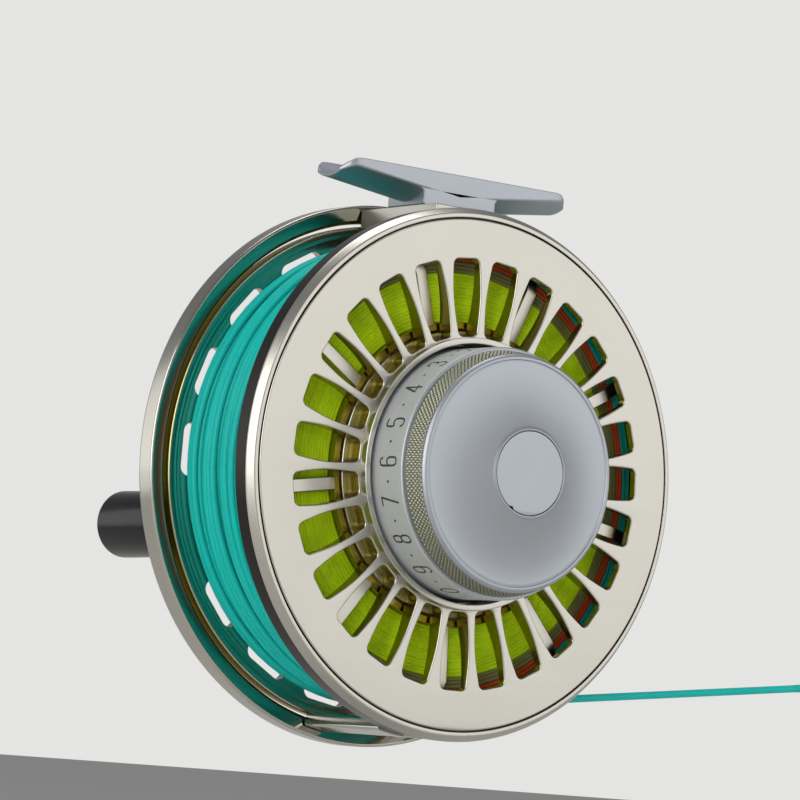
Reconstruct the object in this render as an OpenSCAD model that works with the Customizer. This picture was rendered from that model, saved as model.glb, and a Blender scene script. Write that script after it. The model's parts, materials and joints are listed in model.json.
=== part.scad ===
// Large-arbor fly reel with a sealed disc drag, full frame and a wound fly line.
// X runs along the rod towards its tip, Y along the spool's axle from the drag knob
// to the winding handle, Z up towards the rod. The origin is on the rod barrel's axis,
// above the middle of the reel foot.

/* [Reel] */
// Outer radius of the frame ring on the handle side
ring_r = 60; // [59.6:0.1:61]
// Outer radius of the frame plate on the drag side
plate_r = 57.5; // [57.2:0.1:57.8]
// Distance from the rod barrel's axis down to the spool's axle
axle_drop = 70.4; // [70:0.1:71]

/* [Windows and slots] */
// Number of windows through the frame plate
window_count = 27; // [18:1:27]
// Clock angle of the first window, in degrees from the top
window_start = -6.1; // [-13:0.1:13]
// Number of slots round the handle-side flange, two of which are left solid
slot_count = 18; // [12:2:18]
// Number of spokes in the drag-side flange
spoke_count = 9; // [6:1:12]

/* [Foot] */
// Radius of the rod barrel that the foot sits on
barrel_r = 8; // [8:0.05:8.2]
// Width of the foot along the axle
foot_width = 13.2; // [13:0.1:13.6]
// Length of the foot along the rod
foot_length = 62; // [58:1:64]

/* [Spool] */
// Outer radius of the arbor that carries the backing
arbor_r = 33; // [32.8:0.1:34]
// Outer radius of the wound line
pack_r = 49.4; // [48.5:0.1:49.8]
// Outer radius of the handle-side flange
handle_flange_r = 55.3; // [55:0.1:55.4]
// Outer radius of the drag-side flange
drag_flange_r = 53.6; // [53:0.1:53.8]

/* [Drag] */
// Outer radius of the drag knob's dial band
knob_r = 27; // [26.8:0.1:27.2]
// Outer radius of the drag housing
housing_r = 20; // [19.8:0.1:20.1]

/* [Handle] */
// Distance of the handle from the axle
handle_reach = 45; // [44.5:0.1:45.5]
// Clock angle of the handle, in degrees from the top
handle_clock = 251; // [251:20:271]
// Largest radius of the handle knob
handle_r = 7.4; // [7:0.1:8]

/* [Line] */
// Diameter of the fly line
line_d = 1.7; // [1.4:0.1:1.8]

/* [Hidden] */
$fn = 96;
eps = 0.01;
through = 1;            // how far a cutter runs past what it cuts

// Stations along Y
plate_face_y = -17.1;   // flat face of the frame plate
plate_edge_y = -14.5;   // outer edge of its bevel
plate_rear_y = -11.3;   // rear of its rim
floor_front_y = -12.9;  // floor of the cup behind the knob
floor_rear_y = -10.9;
ring_front_y = 16.2;
ring_rear_y = 21.2;
line_drag_y = -10.8;    // sides of the wound line
line_handle_y = 16.6;
spoke_rear_y = -11;
flange_front_y = 16.8;  // handle-side flange
flange_rear_y = 19;

// Plate
window_outer_r = 46.4;
window_inner_r = 29.7;
collar_r = 29.3;        // raised collar round the knob
opening_r = 28;         // opening that the knob sits in
boss_r = 31;            // thick middle of the plate
rib_in_r = 32;          // the straight part of the bars between the windows
rib_out_r = 44;
pin_hole_r = 0.5;

// Frame
spool_clear_r = 54.9;   // nothing fixed comes closer to the axle between the flanges
ring_in_r = 56;
rim_rear_y = 20.2;       // thick rim of the handle-side flange
stem_half = 9.8;        // half of the foot stem's length
stem_z = -12.4;         // underside of the stem
pillar_clocks = [168, 192];
pillar_half = 3;

// Foot
foot_screw_x = 6;
foot_screw_r = 1.5;
foot_head_depth = 2.3;  // top of the screw head, below the stem's underside
toe_arc_r = 9.4;        // underside of the toes, seen from the end
toe_low_z = -12.6;      // its lowest line, carried on to the middle of the foot
toe_rise = 7;           // slope of the underside, degrees
tip_corner = 2.5;

// Drag stack, along Y
housing_bore_r = 17.9;
housing_end_y = 4.2;
spindle_r = 4;
axle_tip_r = 3;         // thin end of the spindle, in the spool bearing
rotor_r = 6.5;
rotor_bore_r = 5;
running = 0.05;         // radial clearance of a running fit
steel_ys = [-5.3, -2.9, -0.5];
steel_thick = 1;
carbon_ys = [-4.2, -1.8];
carbon_thick = 1.2;
hub_key_r = 8.9;        // part of the rotor that carries the carbon discs
pin_ring_r = 9.5;       // push pins, from the axle
pin_r = 1.5;
nut_corner_r = 11;
socket_corner_r = 11.25;

// Knob, along Y
knob_rear_y = -13.6;
dial_front_y = -28.5;
knurl_front_y = -33;
rim_y = -33.9;
rim_r = 24.6;
boss_top_y = -37.9;
plunger_r = 1.15;
detent_r = 17.7;        // plungers and dimples, from the axle
detent_half = 0.8;      // half of the detent ring's width
detent_pitch = 18;      // degrees from one dial number to the next

// Spool
hub_r = 12.5;
clutch_r = 9.5;
bearing_r = 8;
web_front_y = 12.5;
web_rear_y = 15;
port_ring_r = 22.2;
port_r = 6.3;
port_count = 8;
arbor_wall = 1.4;
slot_outer_r = 51.8;
slot_inner_r = 37;
spoke_w = 2.9;
spoke_start = 21.3;     // clock angle of the first spoke
slot_start = 11;        // clock angle of the first slot
backing_r = 43.6;
running_line_r = 46.2;
head_r = 47.9;

// Click
gear_r = 21.2;
gear_root_r = 20.6;
gear_teeth = 60;
gear_y = 1.6;
gear_w = 2.4;
pawl_clock = 22.5;
pawl_pivot_r = 25.4;

// Handle, along Y
handle_rear_y = 22.2;
handle_end_y = 52.2;
handle_length = handle_end_y - handle_rear_y;
post_r = 2.5;
handle_bore_r = 3.4;

// Line leaving the reel: centre of the tube, X and height above the axle
line_y = 2.5;
line_r = line_d / 2;
line_route = [[5, -50.2], [15, -49.2], [30, -47.7], [45, -46.2], [60, -44.7], [75, -43.2],
              [90, -41.7], [105, -40.2], [122, -38.5]];
line_end = line_route[8];
ring_step = 4;          // spacing of the tube's rings
tube_sides = 8;
loop_r = 4.2;

champagne = "#CCC7BB";
silver = "#AEB3B8";
steel = "#9A9DA0";

// Puts a shape drawn round Z on the spool's axle: Z becomes Y, and clock angles turn as
// seen from the drag knob.
module on_axle() { translate([0, 0, -axle_drop]) rotate([-90, 0, 0]) children(); }

module at_clock(clock, r = 0) { rotate([0, 0, clock - 90]) translate([r, 0, 0]) children(); }

// A ring between two radii and two stations
module ring(r_in, r_out, y0, y1) {
    rotate_extrude() translate([r_in, y0]) square([r_out - r_in, y1 - y0]);
}

module disc(r, y0, y1) { translate([0, 0, y0]) cylinder(r = r, h = y1 - y0); }

// Points of an arc, for the corners of an outline
function arc(cx, cy, r, from, to, steps) =
    [for (i = [0:steps]) let (a = from + (to - from) * i / steps) [cx + r * cos(a), cy + r * sin(a)]];

// A slot that lies along +X from r_in to r_out, with rounded corners and bowed sides
function slot_outline(r_in, r_out, w_in, w_mid, w_out, c) = concat(
    arc(r_in + c, w_in / 2 - c, c, 180, 110, 3),
    [[(r_in + r_out) / 2, w_mid / 2]],
    arc(r_out - c, w_out / 2 - c, c, 85, 0, 3),
    arc(r_out - c, c - w_out / 2, c, 0, -85, 3),
    [[(r_in + r_out) / 2, -w_mid / 2]],
    arc(r_in + c, c - w_in / 2, c, -110, -180, 3));

// Cutters for the windows through the plate
module windows() for (i = [0:window_count - 1]) at_clock(window_start + i * 360 / window_count)
    translate([0, 0, plate_face_y - through]) linear_extrude(8)
        polygon(slot_outline(window_inner_r, window_outer_r, 5.2, 7, 7.1, 1.3));

// The outer band of the plate, with its bevelled rim
module frame_plate() color(champagne) on_axle() difference() {
    rotate_extrude() polygon([
        [rib_out_r, plate_face_y], [plate_r - 2.2, plate_face_y], [plate_r - 2.2, plate_face_y + 0.4],
        [plate_r - 1.8, plate_face_y + 0.4], [plate_r - 1.5, plate_face_y + 0.1],
        [plate_r, plate_edge_y], [plate_r, plate_rear_y], [spool_clear_r, plate_rear_y],
        [spool_clear_r, -15.2], [window_outer_r + 0.2, -15.4], [rib_out_r, -15]]);
    windows();
}

// The bars between the windows, deeper towards the middle
module frame_ribs() color(champagne) on_axle() difference() {
    rotate_extrude() polygon([
        [rib_in_r, plate_face_y], [rib_out_r, plate_face_y], [rib_out_r, -15],
        [rib_in_r, floor_front_y]]);
    windows();
}

// The middle of the plate: collar, cup for the knob and the boss that holds the spindle
module frame_cup() color(champagne) on_axle() difference() {
    rotate_extrude() polygon([
        [spindle_r, floor_front_y], [opening_r, floor_front_y], [opening_r, -18.8],
        [opening_r + 0.3, -19.1], [collar_r - 0.3, -19.1], [collar_r, -18.8],
        [collar_r, plate_face_y], [rib_in_r, plate_face_y], [rib_in_r, floor_front_y],
        [boss_r + 0.4, floor_front_y], [boss_r, floor_rear_y], [spindle_r, floor_rear_y]]);
    windows();
    at_clock(window_start + 180 / window_count, 30.4)
        translate([0, 0, plate_face_y - 2.5]) cylinder(r = pin_hole_r, h = 4, $fn = 24);
    for (i = [0:2]) at_clock(120 * i, pin_ring_r)
        translate([0, 0, floor_front_y - through]) cylinder(r = pin_r + running, h = 4, $fn = 32);
    for (i = [0:3]) at_clock(45 + 90 * i, 22.2) {
        translate([0, 0, floor_front_y - through]) cylinder(r = 1.25, h = 4, $fn = 32);
        translate([0, 0, floor_front_y - through]) cylinder(r = 2.3, h = through + 1, $fn = 32);
    }
    ring(detent_r - detent_half, detent_r + detent_half, floor_front_y - through,
        floor_front_y + 0.8);
}

module frame_ring() color(champagne) on_axle() rotate_extrude() polygon([
    [ring_in_r, ring_front_y + 0.4], [ring_in_r + 0.4, ring_front_y], [ring_r - 0.4, ring_front_y],
    [ring_r, ring_front_y + 0.5], [ring_r, ring_rear_y - 0.8], [ring_r - 0.8, ring_rear_y],
    [ring_in_r + 0.4, ring_rear_y], [ring_in_r, ring_rear_y - 0.4]]);

// The bridge at the top joins the plate to the ring and carries the foot
module frame_bridge() color(champagne) difference() {
    translate([-stem_half, plate_rear_y, -axle_drop + 40])
        cube([2 * stem_half, ring_front_y - plate_rear_y, axle_drop - 40 + stem_z]);
    on_axle() disc(spool_clear_r, plate_rear_y - through, ring_front_y + through);
    for (x = [-foot_screw_x, foot_screw_x]) translate([x, 0, stem_z]) {
        translate([0, 0, -5]) cylinder(r = foot_screw_r, h = 6, $fn = 32);
        translate([0, 0, -5]) cylinder(r = 2.9, h = 5 - foot_head_depth, $fn = 32);
    }
}

// Two posts at the bottom join the plate to the ring
module frame_pillars() color(champagne) on_axle() for (clock = pillar_clocks)
    at_clock(clock) intersection() {
        ring(spool_clear_r + 0.4, spool_clear_r + 3.2, plate_rear_y, ring_front_y);
        translate([50, -pillar_half, plate_rear_y])
            cube([10, 2 * pillar_half, ring_front_y - plate_rear_y]);
    }

module barrel_hollow() {
    translate([-foot_length, 0, 0]) rotate([0, 90, 0]) cylinder(r = barrel_r, h = 2 * foot_length);
}

// Both toes in one: the underside is an arc seen from the end and rises to the tips
module toes() for (side = [-1, 1]) intersection() {
    translate([0, 0, toe_low_z + toe_arc_r])
        rotate([0, -side * toe_rise, 0]) translate([side * stem_half, 0, 0])
            rotate([0, 90, 0]) cylinder(r = toe_arc_r, h = 2 * foot_length, center = true);
    translate([side > 0 ? stem_half - 4 : -foot_length / 2, -foot_width / 2, -13])
        cube([foot_length / 2 - stem_half + 4, foot_width, 10]);
    translate([0, 0, -20]) linear_extrude(20) polygon([
        [-foot_length / 2, tip_corner - foot_width / 2], [tip_corner - foot_length / 2, -foot_width / 2],
        [foot_length / 2 - tip_corner, -foot_width / 2], [foot_length / 2, tip_corner - foot_width / 2],
        [foot_length / 2, foot_width / 2 - tip_corner], [foot_length / 2 - tip_corner, foot_width / 2],
        [tip_corner - foot_length / 2, foot_width / 2], [-foot_length / 2, foot_width / 2 - tip_corner]]);
}

module reel_foot() color(silver) difference() {
    union() {
        translate([-stem_half, -foot_width / 2, stem_z])
            cube([2 * stem_half, foot_width, -3 - stem_z]);
        toes();
    }
    barrel_hollow();
    for (x = [-foot_screw_x, foot_screw_x]) translate([x, 0, stem_z - through])
        cylinder(r = foot_screw_r, h = 3.4 + through, $fn = 32);
}

module foot_screws() color(steel) for (x = [-foot_screw_x, foot_screw_x])
    translate([x, 0, stem_z - foot_head_depth]) difference() {
        union() {
            translate([0, 0, -0.5]) cylinder(r = foot_screw_r, h = foot_head_depth + 3.5, $fn = 32);
            translate([0, 0, -1]) cylinder(r = 2.8, h = 1, $fn = 32);
        }
        translate([0, 0, -1.6]) cylinder(r = 1.2, h = 1.2, $fn = 6);
    }

module drag_housing() color(silver) on_axle() difference() {
    rotate_extrude() polygon([
        [housing_bore_r, floor_rear_y], [24, floor_rear_y], [24, floor_rear_y + 2],
        [housing_r, floor_rear_y + 2], [housing_r, housing_end_y - 0.4],
        [housing_r - 0.4, housing_end_y], [housing_bore_r, housing_end_y]]);
    ring(18.4, 19.6, floor_rear_y - through, floor_rear_y + 1.1);
    for (i = [0:3]) at_clock(45 + 90 * i, 22.2)
        translate([0, 0, floor_rear_y - through]) cylinder(r = 1.25, h = 5, $fn = 32);
}

module housing_screws() color(steel) on_axle() for (i = [0:3]) at_clock(45 + 90 * i, 22.2)
    difference() {
        union() {
            translate([0, 0, floor_front_y + 0.1]) cylinder(r = 2.2, h = 0.9, $fn = 32);
            translate([0, 0, floor_front_y + 0.5]) cylinder(r = 1.25, h = 3.2, $fn = 32);
        }
        translate([0, 0, floor_front_y - 0.4]) cylinder(r = 1, h = 0.9, $fn = 6);
    }

module torus(r, thick, y) {
    rotate_extrude() translate([r, y]) circle(r = thick, $fn = 32);
}

module housing_seal() color("#202224") on_axle() torus(19, 0.54, floor_rear_y + 0.55);

module housing_cap() color(silver) on_axle() difference() {
    rotate_extrude() polygon([
        [9, 0.6], [housing_bore_r - running, 0.6], [housing_bore_r - running, housing_end_y],
        [10, housing_end_y], [7.2, 3.8], [7.2, 3.5], [9, 3.5]]);
    for (i = [0:3]) at_clock(90 * i, 14)
        translate([0, 0, 2.4]) cylinder(r = 1.2, h = 4, $fn = 32);
}

module shaft_seal() color("#202224") on_axle() rotate_extrude() polygon([
    [rotor_r + running, 1.2], [8.6, 0.9], [9, 1.2], [9, 3.4], [rotor_r + running, 3.4]]);

// The spindle is fixed: the drag nut's thread at one end, the spool's bearing at the other
module spindle() color(steel) on_axle() difference() {
    rotate_extrude() polygon([
        [0, -24.5], [spindle_r - 0.4, -24.5], [spindle_r, -24.1], [spindle_r, 14.2],
        [axle_tip_r, 14.2], [axle_tip_r, 22], [axle_tip_r - 0.4, 22.4], [0, 22.4]]);
    disc(foot_screw_r, -24.5 - through, -18);
}

module steel_plates() color(steel) on_axle() for (i = [0:2])
    ring(i < 2 ? 9.4 : 7.2, housing_bore_r - running, steel_ys[i], steel_ys[i] + steel_thick);

// Toothed ring on the housing that the click pawl runs over
module click_gear() color(silver) on_axle() translate([0, 0, gear_y]) linear_extrude(gear_w)
    difference() {
        polygon([for (i = [0:gear_teeth - 1]) let (a = 360 / gear_teeth, c = pawl_clock - 90)
            each [for (q = [[-0.25, gear_root_r], [-0.12, gear_r], [0.12, gear_r], [0.25, gear_root_r]])
                [q[1] * cos(c + a * (i + 0.5 + q[0])), q[1] * sin(c + a * (i + 0.5 + q[0]))]]]);
        circle(r = housing_r);
    }

module spool_nut() color(steel) on_axle() difference() {
    translate([0, 0, 18.75]) cylinder(r = 5.4, h = 2.4, $fn = 6);
    disc(axle_tip_r, 18, 22);
}

module knob_screw() color(steel) on_axle() difference() {
    union() {
        rotate_extrude() polygon([
            [0, -27], [5.2, -27], [5.6, -26.6], [5.6, -24.6], [foot_screw_r, -24.6],
            [foot_screw_r, -18.4], [0, -18.4]]);
    }
    disc(2, -27 - through, -25.4);
}

// Steel ring with a dimple for each number, let into the floor of the cup
module detent_ring() color(steel) on_axle() difference() {
    ring(detent_r - detent_half, detent_r + detent_half, floor_front_y, floor_front_y + 0.8);
    for (i = [0:360 / detent_pitch - 1]) at_clock(detent_pitch * i, detent_r)
        translate([0, 0, floor_front_y - 0.7]) sphere(r = 0.9, $fn = 24);
}

// Body of the drag knob: dial band, grip band, rim and a face that flares up to its middle
module knob_body() color(silver) on_axle() difference() {
    rotate_extrude() polygon(concat(
        [[23.5, knob_rear_y], [26.4, knob_rear_y], [26.4, -14.1], [26.2, -14.1], [26.2, -15.7],
         [knob_r, -15.7], [knob_r, dial_front_y], [knob_r - 0.35, dial_front_y - 0.2],
         [25.3, knurl_front_y], [25.3, knurl_front_y - 0.4], [rim_r, rim_y], [rim_r - 1, rim_y]],
        [for (i = [1:9]) let (t = i / 9)
            [rim_r - 1 - (rim_r - 1 - 10) * t,
             rim_y + 1.5 * sin(180 * min(1, t * 1.35)) - 3.4 * t * t * t]],
        [[9.5, boss_top_y], [8.95, boss_top_y], [8.95, -36.4], [6.2, -36.4], [6.2, -24.5],
         [spindle_r + running, -24.5], [spindle_r + running, -16], [13, -16], [13, -15], [19.4, -15],
         [19.4, -26.6], [23.5, -26.6]]));
    // Hexagonal socket that turns the drag nut, and the bores of the detent plungers
    translate([0, 0, -21.6]) cylinder(r = socket_corner_r, h = 8, $fn = 6);
    for (i = [0:1]) at_clock(180 * i, detent_r)
        translate([0, 0, -24]) cylinder(r = plunger_r + running, h = 12, $fn = 32);
}

module knob_cap() color(silver) on_axle() difference() {
    rotate_extrude() polygon([
        [0, -37.5], [8.2, -37.5], [8.5, -37.75], [8.85, -37.6], [8.85, -36.4], [6.1, -36.4],
        [6.1, -33.6], [5.2, -33.6], [5.2, -36], [0, -36]]);
    at_clock(209, 9.1) translate([0, 0, -39]) cylinder(r = 0.5, h = 2, $fn = 24);
}

module knob_seal() color("#202224") on_axle() torus(26.95, 0.74, -14.9);

module detent_plungers() color(steel) on_axle() for (i = [0:1]) at_clock(180 * i, detent_r)
    rotate_extrude() polygon([
        [0, -17], [plunger_r, -17], [plunger_r, -13.9], [0.9, -13.3], [0.5, -13.05], [0, -13]]);

module detent_springs() color(steel) on_axle() for (i = [0:1]) at_clock(180 * i, detent_r)
    ring(0.6, 1.05, -23.9, -17.1);

module drag_nut() color("#C3A45A") on_axle() difference() {
    translate([0, 0, -19.5]) cylinder(r = nut_corner_r, h = 4, $fn = 6);
    disc(spindle_r + running, -20.5, -14);
}

module thrust_washer() color(steel) on_axle() ring(spindle_r + 0.3, 12, -15.4, -14);

module push_pins() color(steel) on_axle() for (i = [0:2]) at_clock(120 * i, pin_ring_r)
    disc(pin_r, -14, -10.2);

module pressure_plate() color(steel) on_axle() difference() {
    ring(spindle_r + running, 17.3, -10.2, -7.7);
    for (i = [0:5]) at_clock(60 * i + 30, 13) disc(1.5, -11, -7);
}

module spring_washers() color("#7D8084") on_axle() rotate_extrude() {
    polygon([[6, -7.7], [16, -7.1], [16, -6.8], [6, -7.4]]);
    polygon([[6, -6.2], [16, -6.78], [16, -6.5], [6, -5.9]]);
}

module drag_rotor() color(silver) on_axle() rotate_extrude() polygon([
    [rotor_bore_r, -4.6], [hub_key_r, -4.6], [hub_key_r, -0.65], [rotor_r, -0.65],
    [rotor_r, 13.7], [rotor_r - 0.3, 14], [rotor_bore_r, 14]]);

module carbon_discs() color("#2B2D2F") on_axle() for (y = carbon_ys)
    ring(hub_key_r, 17.2, y, y + carbon_thick);

module rotor_bushings() color("#B08D57") on_axle() for (y = [-4.4, 9])
    ring(spindle_r + running, rotor_bore_r, y, y + 4.4);

// Angle at which a straight-sided spoke's edge crosses a radius
function spoke_edge(r) = asin(spoke_w / 2 / r);

// Drag-side flange: a rim and spokes that ramp down to it
module spool_drag_flange() color(champagne) on_axle() difference() {
    rotate_extrude() polygon([
        [arbor_r, -12.75], [44.6, -13.6], [47.8, -12.2], [50.2, -12.2], [50.2, -13.2], [50.8, -13.8],
        [drag_flange_r - 0.5, -13.8], [drag_flange_r, -13.3], [drag_flange_r, spoke_rear_y],
        [arbor_r, spoke_rear_y]]);
    for (i = [0:spoke_count - 1]) let (span = 360 / spoke_count)
        at_clock(spoke_start + i * span) translate([0, 0, -16]) linear_extrude(8) polygon(concat(
            arc(0, 0, 49.8, spoke_edge(49.8), span - spoke_edge(49.8), 8),
            arc(0, 0, 32, span - spoke_edge(32), spoke_edge(32), 4)));
}

module spool_arbor() color(champagne) on_axle() difference() {
    ring(arbor_r - arbor_wall, arbor_r, -12.6, flange_front_y);
    for (i = [0:11]) at_clock(30 * i) translate([arbor_r - 6, 0, 3])
        rotate([0, 90, 0]) cylinder(r = 3.2, h = 12, $fn = 32);
}

module spool_handle_flange() color(champagne) on_axle() difference() {
    rotate_extrude() polygon([
        [arbor_r - arbor_wall, flange_front_y], [handle_flange_r - 1.4, flange_front_y],
        [handle_flange_r - 1.1, flange_front_y - 0.2], [handle_flange_r - 0.3, flange_front_y - 0.2],
        [handle_flange_r, flange_front_y + 0.1], [handle_flange_r, rim_rear_y - 0.3],
        [handle_flange_r - 0.3, rim_rear_y], [handle_flange_r - 2.2, rim_rear_y],
        [handle_flange_r - 2.4, flange_rear_y], [arbor_r - arbor_wall, flange_rear_y]]);
    for (i = [0:slot_count - 1]) if ((slot_start + i * 360 / slot_count - handle_clock) % 180 != 0)
        at_clock(slot_start + i * 360 / slot_count)
            translate([0, 0, flange_front_y - through]) linear_extrude(5)
                polygon(slot_outline(slot_inner_r, slot_outer_r, 7, 9.4, 11.4, 2.2));
    at_clock(handle_clock, handle_reach) disc(post_r, 10, 22);
    at_clock(handle_clock + 180, handle_reach) disc(3.2, 10, 22);
}

// Hub round the clutch and the bearing
module spool_hub() color(champagne) on_axle() rotate_extrude() polygon([
    [clutch_r, 5], [hub_r, 5], [hub_r, 19], [bearing_r, 19], [bearing_r, 14.2], [clutch_r, 14.2]]);

// Ported web that joins the hub to the arbor
module spool_web() color(champagne) on_axle() difference() {
    ring(hub_r, arbor_r - arbor_wall, web_front_y, web_rear_y);
    for (i = [0:port_count - 1]) at_clock(i * 360 / port_count, port_ring_r)
        disc(port_r, web_front_y - through, web_rear_y + through);
    at_clock(pawl_clock, pawl_pivot_r) disc(1, web_front_y - through, web_rear_y + through);
}

module one_way_clutch() color(steel) on_axle() ring(rotor_r + running, clutch_r, 5.4, 13.6);

module spool_bearing() color(steel) on_axle() ring(axle_tip_r + running, bearing_r, 14.4, 18.4);

module spool_cap() color(silver) on_axle() difference() {
    rotate_extrude() polygon([
        [9.5, 19], [15, 19], [15, 22.2], [14.2, 23.2], [11, 23.8], [0, 24], [0, 22.8], [9.5, 22.8]]);
    for (i = [0:17]) at_clock(20 * i, 15.6) disc(1.1, 18, 25);
}

module counterweight() color(silver) on_axle() at_clock(handle_clock + 180, handle_reach)
    rotate_extrude() polygon([
        [0, 17.2], [3.2, 17.2], [3.2, 19], [6, 19], [6, 21], [5, 22], [0, 22.2]]);

module backing() color("#9CC400") on_axle() ring(arbor_r, backing_r, line_drag_y, line_handle_y);

module running_line() color("#8A8A5A") on_axle()
    ring(backing_r, running_line_r, line_drag_y, line_handle_y);

module line_head() color("#B8501E") on_axle()
    ring(running_line_r, head_r, line_drag_y, line_handle_y);

module fly_line() color("#12B5AE") on_axle() ring(head_r, pack_r, line_drag_y, line_handle_y);

module handle_post() color(steel) on_axle() at_clock(handle_clock, handle_reach) difference() {
    rotate_extrude() polygon([
        [0, 17], [post_r, 17], [post_r, 19], [6, 19], [6, 20.8], [5, 21.8], [post_r, 21.8],
        [post_r, 47.4], [0, 47.4]]);
    disc(1, 42, 48);
}

module handle_screw() color(steel) on_axle() at_clock(handle_clock, handle_reach) difference() {
    union() {
        disc(1, 42.4, 48);
        disc(3.9, 47.4, 49);
    }
    translate([0, 0, 48.2]) cylinder(r = 1.4, h = 2, $fn = 6);
}

// Pawl on the spool's web that clicks over the gear
module click_pawl() color(steel) on_axle() at_clock(pawl_clock, pawl_pivot_r)
    translate([0, 0, gear_y + 0.2]) linear_extrude(gear_w - 0.4) difference() {
        polygon(concat(arc(0, 0, 1.9, -140, 140, 14), [[-4, 0.3], [-4, -0.3]]));
        circle(r = 1 + running, $fn = 32);
    }

module pawl_pin() color(steel) on_axle() at_clock(pawl_clock, pawl_pivot_r) {
    disc(1, 0.6, web_rear_y);
    ring(1, 1.6, 0.6, 1.3);
    ring(1, 1.9, 4.4, web_front_y);
}

module click_spring() color(steel) on_axle() at_clock(pawl_clock, pawl_pivot_r)
    ring(1.9, 2.3, 4.5, web_front_y - 0.1);

module handle_knob() color("#15161A") on_axle() at_clock(handle_clock, handle_reach)
    rotate_extrude() polygon(concat(
        [[handle_bore_r, handle_rear_y], [5.2, handle_rear_y], [5.7, handle_rear_y + 0.4]],
        [for (i = [0:9]) let (t = i / 10)
            [handle_r - 1.2 * pow(1 - t, 2), handle_rear_y + 0.9 + (handle_length - 1.9) * t]],
        [[handle_r, handle_end_y - 1], [handle_r - 0.3, handle_end_y - 0.3],
         [handle_r - 1, handle_end_y], [4.3, handle_end_y],
         [4.3, 47.1], [handle_bore_r, 47.1]]));

module handle_bushings() color("#B08D57") on_axle() at_clock(handle_clock, handle_reach)
    for (y = [22.4, 42.4]) ring(post_r + running, handle_bore_r, y, y + 4.6);

// Points every ring_step along the route
function along(path, step) = [for (i = [0:len(path) - 2])
    let (a = path[i], b = path[i + 1], n = max(1, round(norm(b - a) / step)))
    each [for (k = [0:n - 1]) a + (b - a) * k / n], path[len(path) - 1]];

// The line where it leaves the reel, pulled tight towards the rod's tip
module line_out() color("#12B5AE") {
    points = along(line_route, ring_step);
    last = len(points) - 1;
    slope = atan2(line_end[1] - line_route[0][1], line_end[0] - line_route[0][0]);
    polyhedron(
        points = [for (p = points) each [for (s = [0:tube_sides - 1])
            let (a = 360 * (s + 0.5) / tube_sides)
            [p[0] - line_r * cos(a) * sin(slope), line_y + line_r * sin(a),
             p[1] - axle_drop + line_r * cos(a) * cos(slope)]]],
        faces = concat(
            [[for (s = [0:tube_sides - 1]) s]],
            [for (i = [0:last - 1]) each [for (s = [0:tube_sides - 1])
                let (t = (s + 1) % tube_sides, b = i * tube_sides)
                each [[b + s, b + tube_sides + s, b + t],
                      [b + t, b + tube_sides + s, b + tube_sides + t]]]],
            [[for (s = [tube_sides - 1:-1:0]) last * tube_sides + s]]));
}

// Welded loop at the end of the line
module line_loop() color("#12B5AE") translate([line_end[0], line_y, line_end[1] - axle_drop])
    rotate([90, 0, 0]) difference() {
        translate([loop_r + line_r, 0.5, 0]) rotate_extrude($fn = 48)
            translate([loop_r, 0]) circle(r = line_r, $fn = 24);
        translate([-20, -20, -5]) cube([20 + eps, 40, 10]);
    }

frame_plate();
frame_ribs();
frame_cup();
frame_ring();
frame_bridge();
frame_pillars();
reel_foot();
foot_screws();
drag_housing();
housing_screws();
housing_seal();
housing_cap();
shaft_seal();
spindle();
steel_plates();
click_gear();
spool_nut();
knob_screw();
detent_ring();
knob_body();
knob_cap();
knob_seal();
detent_plungers();
detent_springs();
drag_nut();
thrust_washer();
push_pins();
pressure_plate();
spring_washers();
drag_rotor();
carbon_discs();
rotor_bushings();
spool_drag_flange();
spool_arbor();
spool_handle_flange();
spool_hub();
spool_web();
one_way_clutch();
spool_bearing();
spool_cap();
counterweight();
backing();
running_line();
line_head();
fly_line();
handle_post();
handle_screw();
click_pawl();
pawl_pin();
click_spring();
handle_knob();
handle_bushings();
line_out();
line_loop();
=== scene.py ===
import json
import math
import random

import bmesh
import bpy
from bpy.props import FloatProperty, FloatVectorProperty, IntProperty, PointerProperty
from mathutils import Matrix, Vector


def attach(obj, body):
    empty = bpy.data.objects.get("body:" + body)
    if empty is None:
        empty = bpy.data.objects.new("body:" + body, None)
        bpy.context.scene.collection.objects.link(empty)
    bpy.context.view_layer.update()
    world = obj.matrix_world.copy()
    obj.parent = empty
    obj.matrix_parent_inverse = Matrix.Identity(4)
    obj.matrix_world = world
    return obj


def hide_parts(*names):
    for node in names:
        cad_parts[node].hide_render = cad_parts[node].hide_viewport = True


bl_info = {
    "name": "Fly reel",
    "version": (1, 0, 0),
    "blender": (4, 5, 0),
    "location": "3D View > Sidebar > Fly reel",
    "description": "Builds a large-arbor fly reel on its packed frame",
    "category": "Object",
}

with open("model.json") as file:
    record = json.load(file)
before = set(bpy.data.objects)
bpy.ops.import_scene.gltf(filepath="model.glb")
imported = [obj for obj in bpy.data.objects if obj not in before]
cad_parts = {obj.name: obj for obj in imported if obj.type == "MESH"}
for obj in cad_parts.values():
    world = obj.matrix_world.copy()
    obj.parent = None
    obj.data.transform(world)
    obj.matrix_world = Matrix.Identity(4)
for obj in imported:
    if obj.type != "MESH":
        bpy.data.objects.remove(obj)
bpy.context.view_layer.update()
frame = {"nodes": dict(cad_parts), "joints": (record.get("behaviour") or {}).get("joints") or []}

MM = 0.001
JOINTS = {joint["name"]: joint for joint in frame["joints"]}
AXLE_Z = JOINTS["spool_spin"]["pos_m"][2]
HANDLE_AXIS = Vector(JOINTS["handle_spin"]["pos_m"])
AXLE_DROP = -AXLE_Z / MM


def linear(code):
    """sRGB hex to linear red, green and blue."""
    out = []
    for i in (1, 3, 5):
        c = int(code[i:i + 2], 16) / 255
        out.append(c / 12.92 if c <= 0.04045 else ((c + 0.055) / 1.055) ** 2.4)
    return tuple(out)


# ---------------------------------------------------------------- sizes and colours


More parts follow.
